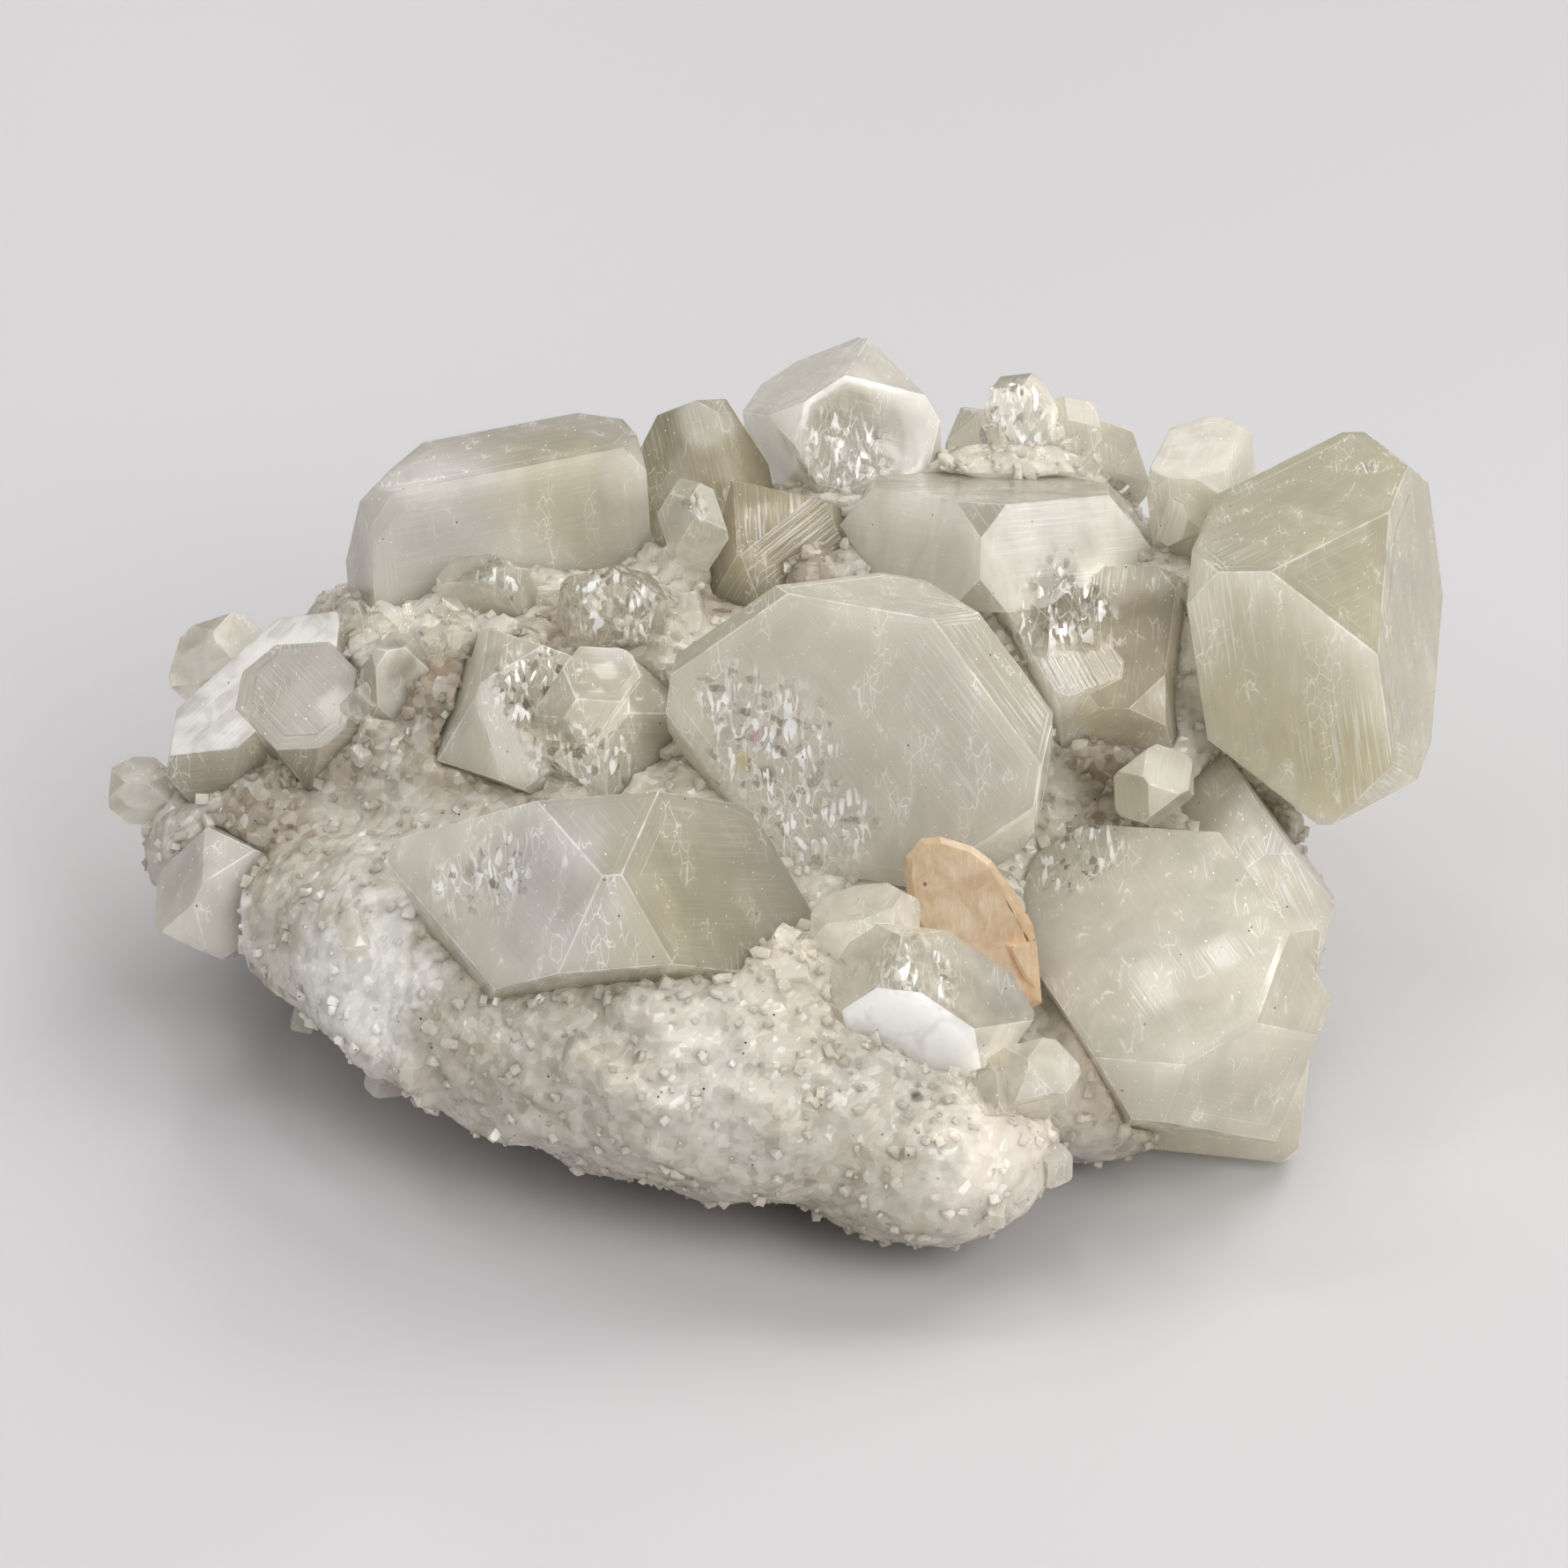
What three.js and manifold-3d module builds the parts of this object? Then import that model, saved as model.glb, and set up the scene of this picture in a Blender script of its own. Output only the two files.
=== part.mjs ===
// Apophyllite cluster: glassy blocky crystals and one stilbite blade on a loose piece of druzy matrix.
// Millimetres, +Z up. The front is -Y. The matrix rests on a flat broken patch in the plane z = 0.
import * as THREE from 'three';
import { mergeVertices } from 'three/addons/utils/BufferGeometryUtils.js';
import Module from 'manifold-3d';

const wasm = await Module();
wasm.setup();

// Apophyllite is tetragonal: a square prism with flat ends, whose corners are cut by steep pyramid faces.
const PYRAMID_TILT = THREE.MathUtils.degToRad(60.3); // from the prism's axis to a pyramid face's normal
const ACROSS = Math.sin(PYRAMID_TILT) * Math.SQRT1_2;
const ALONG = Math.cos(PYRAMID_TILT);
const SIDES = [1, -1];
const CORNERS = SIDES.flatMap((x) => SIDES.flatMap((y) => SIDES.map((z) => [x, y, z])));

const SOCKET_GAP = 0.3; // clear space between a crystal and the matrix it sits in

// ---------------------------------------------------------------- solids and meshes

function toSolid(geometry) {
  const bare = geometry.index ? geometry.toNonIndexed() : geometry.clone();
  bare.deleteAttribute('normal');
  bare.deleteAttribute('uv');
  const merged = mergeVertices(bare, 1e-4);
  return new wasm.Manifold(new wasm.Mesh({
    numProp: 3,
    vertProperties: merged.attributes.position.array,
    triVerts: new Uint32Array(merged.index.array),
  }));
}

function toGeometry(solid) {
  const mesh = solid.getMesh();
  const geometry = new THREE.BufferGeometry();
  geometry.setAttribute('position', new THREE.BufferAttribute(mesh.vertProperties, 3));
  geometry.setIndex(new THREE.BufferAttribute(mesh.triVerts, 1));
  geometry.computeVertexNormals();
  return geometry;
}

function placed(solid, at, turn) {
  const [x, y, z] = turn.map(THREE.MathUtils.degToRad);
  const place = new THREE.Matrix4().makeRotationFromEuler(new THREE.Euler(x, y, z));
  place.setPosition(...at);
  return solid.transform(place.elements);
}

function joined(solids) {
  return solids.reduce((whole, solid) => whole.add(solid));
}

function largestBody(solid) {
  return solid.decompose().reduce((best, body) => (body.volume() > best.volume() ? body : best));
}

// A small seeded generator, so that the druse is the same at every build.
function randomFrom(seed) {
  let state = seed;
  return () => {
    state = (state * 1664525 + 1013904223) % 4294967296;
    return state / 4294967296;
  };
}

// Smooth bumps in space from a few crossed waves, between about -1 and 1.
function waves({ x, y, z }, wavelength, phase) {
  const k = (2 * Math.PI) / wavelength;
  const first = Math.sin(k * (x + 0.6 * y) + phase) * Math.cos(k * (0.8 * y - 0.5 * z) - 2 * phase);
  const second = Math.sin(k * (0.9 * z - 0.7 * x) + 3 * phase) * Math.cos(k * (0.5 * x + y + 0.3 * z) + phase);
  return (first + second) / 2;
}

// ---------------------------------------------------------------- crystals

// half: half width, half depth and half length, with the crystal's own axis as its local Z.
// cuts: how far the pyramid faces are cut in from the corners of the box, one for all or one each.
// turn: degrees about X, Y and Z.
const CRYSTALS = {
  right_block_crystal: {
    color: 0xb8b19b,
    roughness: 0.2,
    members: [
      {
        at: [34.5, 4, 26.4], half: [9.2, 5.8, 9], turn: [-90, 16, 80],
        cuts: [4, 3.9, 3.9, 2.7, 4, 1.4, 2.3, 3.7],
      },
    ],
  },
  top_crystal: {
    color: 0xb8b2a8,
    roughness: 0.15,
    members: [
      {
        at: [3.7, 23.8, 29.7], half: [4.6, 4.2, 5.8], turn: [64, 19, 31],
        cuts: [2.5, 2.2, 1.5, 2.4, 1.2, 2, 2.1, 2.3],
      },
    ],
  },
  back_left_crystal: {
    color: 0xbebbb4,
    roughness: 0.3,
    members: [
      {
        at: [-18.9, 15.2, 27.3], half: [3.3, 9.4, 5.3], turn: [-6, -3, 110],
        cuts: [3.6, 0.8, 1.4, 1.2, 1.1, 1.5, 0.9, 1.3],
      },
    ],
  },
  back_middle_crystals: {
    color: 0xb4ac9e,
    roughness: 0.15,
    members: [
      {
        at: [-5, 18.6, 28], half: [3.2, 5, 3.1], turn: [47, -26, -166],
        cuts: [1.4, 2.6, 1.4, 1.8, 0.8, 0.2, 0.8, 2.2],
      },
      {
        at: [-0.9, 13.3, 26], half: [3.7, 3.6, 4.2], turn: [-34, 14, 24],
        cuts: [1.8, 2.3, 1.5, 2.6, 1.7, 2.1, 2.4, 1.9],
      },
    ],
  },
  centre_crystal: {
    color: 0xc2beb3,
    roughness: 0.25,
    members: [
      {
        at: [4.9, -4.5, 24.5], half: [8.7, 11.8, 4.1], turn: [-106, 9, 98],
        cuts: [6.2, 5.2, 3.5, 4.1, 6.9, 4, 5.9, 4.9],
      },
    ],
  },
  upper_middle_crystals: {
    color: 0xc6c0b2,
    roughness: 0.2,
    members: [
      {
        at: [17.6, 5, 22.8], half: [5.3, 2.4, 6.4], turn: [-72, -23, -95],
        cuts: [0.7, 0.5, 0.7, 0.4, 0.5, 0.4, 2.4, 0.5],
      },
      {
        at: [22.3, 2.4, 24.6], half: [2.9, 3.3, 5.2], turn: [-62, 8, -12],
        cuts: [0.9, 1.3, 0.8, 1.2, 1, 1.1, 0.7, 1.2],
      },
      {
        at: [13.6, 11.4, 28.6], half: [7, 3.4, 7.4], turn: [-112, -37, -179],
        cuts: [1.9, 1.2, 2.6, 1.4, 2.1, 2.2, 2.2, 1.6],
      },
    ],
  },
  back_right_crystals: {
    color: 0xc0b9aa,
    roughness: 0.2,
    members: [
      {
        at: [27.3, 13.9, 30.7], half: [4, 3.2, 2.4], turn: [66, 71, -156],
        cuts: [0.5, 0.2, 0.7, 0.7, 1, 1, 0.8, 1],
      },
      {
        at: [26.2, 11, 30.5], half: [1.6, 1.4, 2], turn: [40, 30, 20],
        cuts: 0.6,
      },
    ],
  },
  front_right_crystals: {
    color: 0xc4bcae,
    roughness: 0.2,
    members: [
      {
        at: [24.8, -15, 11.3], half: [10.8, 7.1, 5.8], turn: [-165, 20, 66],
        cuts: [5, 2.6, 5, 3.1, 4, 2.5, 3.6, 4],
      },
      {
        at: [27.9, -13.2, 6.7], half: [5.4, 6, 5], turn: [3, 2, -7],
        cuts: [0.7, 0.5, 0.9, 0.6, 0.8, 0.9, 0.7, 0.5],
      },
      {
        at: [28.8, -4, 13.1], half: [4, 5.1, 6.3], turn: [-87, -18, 147],
        cuts: [1.9, 1, 1.7, 2.2, 1.6, 0.8, 2, 2],
      },
    ],
  },
  front_clear_crystals: {
    color: 0xe1deda,
    roughness: 0.08,
    members: [
      {
        at: [9, -23.2, 15.8], half: [3.2, 2.9, 5.4], turn: [-173, 48, 10],
        cuts: [2.2, 1, 1, 1.7, 0.4, 1, 2.6, 1.1],
      },
      {
        at: [5, -18.7, 18.8], half: [2.1, 1.5, 2.8], turn: [47, 61, -140],
        cuts: 0.8,
      },
      {
        at: [14.6, -26.2, 12], half: [1.9, 1.7, 3.2], turn: [28, 34, 10],
        cuts: 0.9,
      },
    ],
  },
  front_left_crystal: {
    color: 0xbeb8aa,
    roughness: 0.2,
    members: [
      {
        at: [-10.5, -15.3, 17.3], half: [8.7, 10.8, 5.3], turn: [-45, -6, 142],
        cuts: [0.4, 4.6, 3.4, 3.8, 3.2, 3, 4.5, 2.6],
      },
    ],
  },
  left_block_crystals: {
    color: 0xaaa294,
    roughness: 0.3,
    members: [
      {
        at: [-33.6, 5, 19.2], half: [2.9, 7.5, 2.8], turn: [23, -19, 130],
        cuts: [2.1, 1.7, 1.8, 2.3, 2.6, 2.1, 1.5, 1.8],
      },
      {
        at: [-30.1, 3.6, 19.4], half: [3.6, 4.4, 3.4], turn: [24, -16, 38],
        cuts: [1.6, 1.2, 1.9, 1.4, 1.2, 1.7, 1.3, 1.5],
      },
    ],
  },
  left_back_small_crystal: {
    color: 0xb9b3a6,
    roughness: 0.2,
    members: [
      {
        at: [-37, 10.5, 19.6], half: [2.2, 2, 2.8], turn: [20, 35, 15],
        cuts: 1,
      },
    ],
  },
  far_left_crystal: {
    color: 0xc1bcb7,
    roughness: 0.1,
    members: [
      {
        at: [-42, 4, 13.9], half: [1.5, 1.8, 1.5], turn: [90, -3, 89],
        cuts: 0.7,
      },
    ],
  },
  lower_left_crystal: {
    color: 0xc6c3bc,
    roughness: 0.25,
    members: [
      {
        at: [-36.2, -4.4, 11.6], half: [3, 2.7, 3.6], turn: [-28, 24, 32],
        cuts: [1.3, 1.8, 1.1, 1.6, 1.9, 1.2, 1.5, 1.4],
      },
    ],
  },
  left_middle_crystal: {
    color: 0xa8a196,
    roughness: 0.12,
    members: [
      {
        at: [-24.8, 1.2, 24.2], half: [1.7, 1.2, 2.7], turn: [174, 1, -23],
        cuts: [0.9, 0.9, 1, 0.9, 0.9, 0.5, 0.8, 1.2],
      },
    ],
  },
  pointed_left_crystal: {
    color: 0xb5ada0,
    roughness: 0.12,
    members: [
      {
        at: [-19, 7.5, 26.6], half: [1.3, 2.3, 2.6], turn: [51, 55, -134],
        cuts: [0.3, 0.2, 0.6, 0.4, 0.2, 0.1, 0.9, 0.3],
      },
    ],
  },
  sparkling_crystal: {
    color: 0xcbc8c2,
    roughness: 0.08,
    members: [
      {
        at: [-11, 3.6, 27.9], half: [2.3, 2.2, 3.1], turn: [-114, 70, -112],
        cuts: 1.6,
      },
    ],
  },
  triangular_crystals: {
    color: 0xc5c2c4,
    roughness: 0.15,
    members: [
      {
        at: [-12.5, -3.2, 25.6], half: [3.2, 2, 2], turn: [-38, -56, 36],
        cuts: [2.1, 0.7, 1.1, 0.6, 0.2, 1.5, 1.5, 1.7],
      },
      {
        at: [-16.8, -0.6, 22.4], half: [4.2, 4, 4.4], turn: [-38, 20, 18],
        cuts: [1.6, 2.4, 1.9, 2.2, 1.4, 2.6, 1.8, 2.1],
      },
      {
        at: [-11.2, -1.1, 20.9], half: [4.4, 4, 4.2], turn: [16, -24, 52],
        cuts: [2.1, 1.7, 2.5, 1.9, 1.5, 2.2, 1.6, 2.4],
      },
    ],
  },
  small_back_crystal: {
    color: 0xc8c4bc,
    roughness: 0.1,
    members: [
      {
        at: [-5.9, 10.7, 30], half: [1.7, 1.7, 3.4], turn: [15, -8, 20],
        cuts: 1.5,
      },
    ],
  },
  jagged_back_crystals: {
    color: 0xc6c1b6,
    roughness: 0.15,
    members: [
      {
        at: [15.9, 22.6, 30.4], half: [2.1, 2, 3.4], turn: [-10, -14, 25],
        cuts: 1.6,
      },
      {
        at: [18.6, 22.8, 29], half: [1.8, 2, 3.2], turn: [12, 20, 50],
        cuts: 1.4,
      },
      {
        at: [13.7, 23.9, 27.6], half: [2.2, 2.3, 2.8], turn: [-24, 10, 70],
        cuts: 1.1,
      },
      {
        at: [21.9, 22.2, 27.7], half: [1.9, 2.1, 2.6], turn: [30, -12, 15],
        cuts: 1,
      },
    ],
  },
  small_right_crystal: {
    color: 0xb7ae9c,
    roughness: 0.2,
    members: [
      {
        at: [23.4, -6.2, 20.9], half: [1.8, 1.7, 2.2], turn: [28, 20, 35],
        cuts: 0.9,
      },
    ],
  },
  rear_left_crystals: {
    color: 0xbcb6a8,
    roughness: 0.2,
    members: [
      {
        at: [-14, 23, 16.5], half: [4.6, 4.2, 5.6], turn: [-58, 12, 24],
        cuts: [2.2, 1.5, 2.6, 1.8, 2, 1.4, 2.4, 1.9],
      },
      {
        at: [-20.5, 21.5, 13], half: [2.8, 2.6, 3.6], turn: [-35, 28, 60],
        cuts: 1.2,
      },
    ],
  },
  rear_middle_crystal: {
    color: 0xc0baac,
    roughness: 0.2,
    members: [
      {
        at: [5, 24.6, 15.5], half: [5, 4.4, 4.8], turn: [-70, -14, -18],
        cuts: [1.9, 2.6, 1.6, 2.4, 2.2, 1.4, 2.7, 1.8],
      },
    ],
  },
  rear_right_crystal: {
    color: 0xbab3a2,
    roughness: 0.2,
    members: [
      {
        at: [24, 19.6, 17.5], half: [4.4, 3.8, 5.4], turn: [-50, 22, 40],
        cuts: [1.6, 2.2, 1.3, 2.4, 1.9, 2.5, 1.5, 2],
      },
    ],
  },
};

function crystalSolid({ at, half, turn, cuts }, grow = 0) {
  const [a, b, c] = half;
  const box = toSolid(new THREE.BoxGeometry(2 * (a + grow), 2 * (b + grow), 2 * (c + grow)));
  const cornerReach = ACROSS * (a + b) + ALONG * c;
  const cut = CORNERS.reduce((solid, [x, y, z], i) => {
    const depth = Array.isArray(cuts) ? cuts[i] : cuts;
    return solid.trimByPlane([-x * ACROSS, -y * ACROSS, -z * ALONG], depth - grow - cornerReach);
  }, box);
  return placed(cut, at, turn);
}

// ---------------------------------------------------------------- druzy matrix

// Rounded masses of druse that make up the matrix: centre, radii and turn about Z in degrees.
const LUMPS = [
  { at: [-5, 3, 9], radii: [33, 18, 14], turn: 0 },
  { at: [-14, 6, 16], radii: [22, 12, 11], turn: 0 },
  { at: [-18, 15, 14], radii: [16, 9, 11], turn: 0 },
  { at: [3, 15, 18], radii: [19, 10, 11], turn: 0 },
  { at: [21, 9, 18], radii: [15, 12, 11], turn: 0 },
  { at: [-31, 1, 10], radii: [11, 9, 8], turn: -15 },
  { at: [-15, -15.5, 11], radii: [24, 10.5, 8], turn: -36 },
  { at: [-3, -20, 10.2], radii: [14, 11, 8], turn: -30 },
  { at: [8, -25.5, 7.5], radii: [9, 7.5, 5.5], turn: -20 },
  { at: [19, -15, 6.5], radii: [9, 8, 6], turn: 0 },
  { at: [24.8, -3, 9], radii: [10.2, 11, 9], turn: 0 },
  { at: [15, 18, 19], radii: [11, 7.5, 12.2], turn: 0 },
  { at: [11.5, -11.5, 11], radii: [5, 6, 6.5], turn: 0 },
];
const LUMP_DETAIL = { small: 3, large: 4, largeFrom: 15 }; // subdivisions, large from this radius
// The broken underside rises to the front left: direction, distance from the middle where it starts, slope.
const UNDERCUT = { towards: [-0.85, -0.53], from: 12, slope: 23 };
const SWELL = { size: 0.06, wavelength: 11 };
const RIPPLE = { size: 0.03, wavelength: 5 };

// Small growths strewn over the masses: rounded knobs and stubby blocks, sunk by a share of their size.
const KNOBS = { count: 24, smallest: 2, largest: 4, shape: [1.2, 1, 0.8], sunk: 0.6, seed: 5 };
const BLOCKS = { count: 26, smallest: 0.8, largest: 2.1, shape: [1.7, 1.5, 2.2], sunk: 0.4, seed: 23 };
const BARE_BELOW = 3; // the broken underside carries no growths

function lumpSolid({ at, radii, turn }, index) {
  const detail = Math.max(...radii) < LUMP_DETAIL.largeFrom ? LUMP_DETAIL.small : LUMP_DETAIL.large;
  const geometry = new THREE.IcosahedronGeometry(1, detail);
  const position = geometry.attributes.position;
  const point = new THREE.Vector3();
  for (let i = 0; i < position.count; i += 1) {
    point.fromBufferAttribute(position, i).multiply(new THREE.Vector3(...radii));
    const swell = SWELL.size * waves(point, SWELL.wavelength, index);
    const ripple = RIPPLE.size * waves(point, RIPPLE.wavelength, 2 * index);
    point.multiplyScalar(1 + swell + ripple);
    position.setXYZ(i, point.x, point.y, point.z);
  }
  return placed(toSolid(geometry), at, [0, 0, turn]);
}

// Places spread evenly over a body's surface, each a little below it.
function surfacePlaces(body, { count, smallest, largest, sunk, seed }) {
  const random = randomFrom(seed);
  const surface = toGeometry(body).toNonIndexed().attributes.position;
  const corner = (i) => new THREE.Vector3().fromBufferAttribute(surface, i);
  const faces = [];
  let area = 0;
  for (let i = 0; i < surface.count; i += 3) {
    const face = new THREE.Triangle(corner(i), corner(i + 1), corner(i + 2));
    if (face.a.z > BARE_BELOW) {
      area += face.getArea();
      faces.push({ face, area });
    }
  }
  return Array.from({ length: count }, () => {
    const pick = random() * area;
    const { face } = faces.find((entry) => entry.area >= pick);
    const size = smallest + (largest - smallest) * random() ** 2;
    const out = face.getNormal(new THREE.Vector3());
    const at = face.getMidpoint(new THREE.Vector3()).addScaledVector(out, -sunk * size);
    const turn = [360 * random(), 360 * random(), 360 * random()];
    return { at: at.toArray(), size, turn };
  });
}

function knobSolid({ at, size, turn }) {
  const pebble = new THREE.IcosahedronGeometry(size, 1).scale(...KNOBS.shape);
  return placed(toSolid(pebble), at, turn);
}

function blockSolid({ at, size, turn }) {
  const block = new THREE.BoxGeometry(1, 1, 1).scale(...BLOCKS.shape).scale(size, size, size);
  return placed(toSolid(block), at, turn);
}

function matrixSolid(sockets) {
  const masses = joined(LUMPS.map(lumpSolid));
  const knobbed = joined([masses, ...surfacePlaces(masses, KNOBS).map(knobSolid)]);
  const crusted = joined([knobbed, ...surfacePlaces(knobbed, BLOCKS).map(blockSolid)]);
  const { towards, from, slope } = UNDERCUT;
  const steepness = Math.tan(THREE.MathUtils.degToRad(slope));
  const rising = new THREE.Vector3(-steepness * towards[0], -steepness * towards[1], 1);
  const start = (-steepness * from) / rising.length();
  const undercut = crusted.trimByPlane(rising.normalize().toArray(), start);
  const flatBelow = undercut.trimByPlane([0, 0, 1], 0);
  return largestBody(sockets.reduce((rock, socket) => rock.subtract(socket), flatBelow));
}

// ---------------------------------------------------------------- stilbite blade

// The blade stands in the gap between the centre and front right crystals, with its flat side to the front.
const BLADE = {
  at: [11.7, -15.2, 16.9],
  turn: [57, 0, 0],
  thickness: 2.4,
  bevel: 0.4,
  outline: [
    [-4.2, 2.6], [-4.2, 3.8], [-3.2, 5], [-2, 5.1], [0, 4.5], [1.2, 3.6], [2.3, 2], [3.7, -0.3], [4, -1.8],
    [4.3, -5.2], [3.5, -5.6], [0, -4.6], [-2.2, -2.4], [-3.8, 0],
  ],
  step: [[2.1, -1.6], [3.5, -1.4], [3.9, -4.3], [3.1, -3.6]],
  stepHeight: 0.5,
};

function plate(outline, thickness, bevel, rise, grow = 0) {
  const shape = new THREE.Shape(outline.map(([x, y]) => new THREE.Vector2(x, y)));
  const geometry = new THREE.ExtrudeGeometry(shape, {
    depth: thickness + 2 * grow - 2 * bevel,
    bevelThickness: bevel,
    bevelSize: bevel,
    bevelOffset: grow - bevel,
    bevelSegments: 1,
  });
  return toSolid(geometry.translate(0, 0, bevel + rise - grow));
}

function bladeSolid(grow = 0) {
  const { outline, step, thickness, bevel, stepHeight } = BLADE;
  const blade = plate(outline, thickness, bevel, 0, grow);
  const ledge = plate(step, stepHeight + bevel, bevel / 2, thickness - bevel, grow);
  return blade.add(ledge);
}

// ---------------------------------------------------------------- the specimen

const specimen = new THREE.Group();

function addPiece(name, solid, color, roughness) {
  const material = new THREE.MeshStandardMaterial({ color, roughness, metalness: 0 });
  const piece = new THREE.Mesh(toGeometry(solid), material);
  piece.name = name;
  specimen.add(piece);
}

const blade = placed(bladeSolid(), BLADE.at, BLADE.turn);
const bladeSocket = placed(bladeSolid(SOCKET_GAP), BLADE.at, BLADE.turn);
const allCrystals = Object.values(CRYSTALS).flatMap(({ members }) => members);
const crystalSockets = allCrystals.map((crystal) => crystalSolid(crystal, SOCKET_GAP));

addPiece('druzy_matrix', matrixSolid([bladeSocket, ...crystalSockets]), 0xb3aa9c, 0.8);
addPiece('stilbite_blade', blade, 0xc8a483, 0.45);
for (const [name, { color, roughness, members }] of Object.entries(CRYSTALS)) {
  addPiece(name, joined(members.map((one) => crystalSolid(one))), color, roughness);
}

// The origin is the middle of the cluster's box, at the height of the flat patch.
const box = new THREE.Box3().setFromObject(specimen);
const middle = box.getCenter(new THREE.Vector3());
specimen.position.set(-middle.x, -middle.y, -box.min.z);

export default specimen;
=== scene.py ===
import math
import random
import bmesh
import bpy
from mathutils import Euler, Matrix, Vector, noise
from mathutils.bvhtree import BVHTree


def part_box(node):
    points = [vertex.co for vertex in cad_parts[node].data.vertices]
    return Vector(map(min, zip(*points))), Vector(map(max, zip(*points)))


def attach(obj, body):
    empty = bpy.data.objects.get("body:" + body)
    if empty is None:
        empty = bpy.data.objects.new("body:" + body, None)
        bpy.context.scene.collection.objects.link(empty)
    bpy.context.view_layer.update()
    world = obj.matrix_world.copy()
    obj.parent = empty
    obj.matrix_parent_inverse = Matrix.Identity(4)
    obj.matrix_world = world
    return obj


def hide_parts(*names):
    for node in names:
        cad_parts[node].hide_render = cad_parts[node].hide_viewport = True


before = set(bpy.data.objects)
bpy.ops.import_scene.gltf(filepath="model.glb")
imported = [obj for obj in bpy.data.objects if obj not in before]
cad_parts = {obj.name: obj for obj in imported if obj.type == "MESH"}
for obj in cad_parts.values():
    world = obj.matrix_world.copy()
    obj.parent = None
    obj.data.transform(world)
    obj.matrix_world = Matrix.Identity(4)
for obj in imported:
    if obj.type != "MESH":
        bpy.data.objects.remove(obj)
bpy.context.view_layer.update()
mm = 0.001
modelShift = Vector((0.467, 1.086, 0.0)) * mm  # from the modelling frame to the part's own origin
print("frame loaded")


# ---- node helpers

class Wire:
    # an output socket that takes part in plain arithmetic
    def __init__(self, tree, socket):
        self.tree = tree
        self.socket = socket

    def mathNode(self, operation, *values):
        made = self.tree.nodes.new("ShaderNodeMath")
        made.operation = operation
        for slot, value in zip(made.inputs, values):
            if isinstance(value, Wire):
                self.tree.links.new(value.socket, slot)
            else:
                slot.default_value = value
        return Wire(self.tree, made.outputs[0])

    def __add__(self, other):
        return self.mathNode("ADD", self, other)

    def __sub__(self, other):
        return self.mathNode("SUBTRACT", self, other)

    def __rsub__(self, other):
        return self.mathNode("SUBTRACT", other, self)

    def __mul__(self, other):
        return self.mathNode("MULTIPLY", self, other)

    def __rmul__(self, other):
        return self.mathNode("MULTIPLY", other, self)

    def sibling(self, name):
        # another output of the same node
        return Wire(self.tree, self.socket.node.outputs[name])

    def atMost(self, other):
        return self.mathNode("MINIMUM", self, other)

    def atLeast(self, other):
        return self.mathNode("MAXIMUM", self, other)


class Nodes:
    # the nodes of one tree, a material's or the room's, all made by one method
    def __init__(self, tree):
        self.tree = tree
        tree.nodes.clear()

    def node(self, kind, settings=None, sockets=None, out=0):
        made = self.tree.nodes.new(kind)
        for key, value in (settings or {}).items():
            if key == "stops":
                self.setStops(made.color_ramp, value)
            else:
                setattr(made, key, value)
        for key, value in (sockets or {}).items():
            slot = made.inputs[key]
            if isinstance(value, Wire):
                self.tree.links.new(value.socket, slot)
            else:
                slot.default_value = value
        return Wire(self.tree, made.outputs[out]) if made.outputs else None

    def setStops(self, ramp, stops):
        for element, (place, color) in zip(ramp.elements, stops):
            element.position = place
            element.color = (*color, 1)


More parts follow.
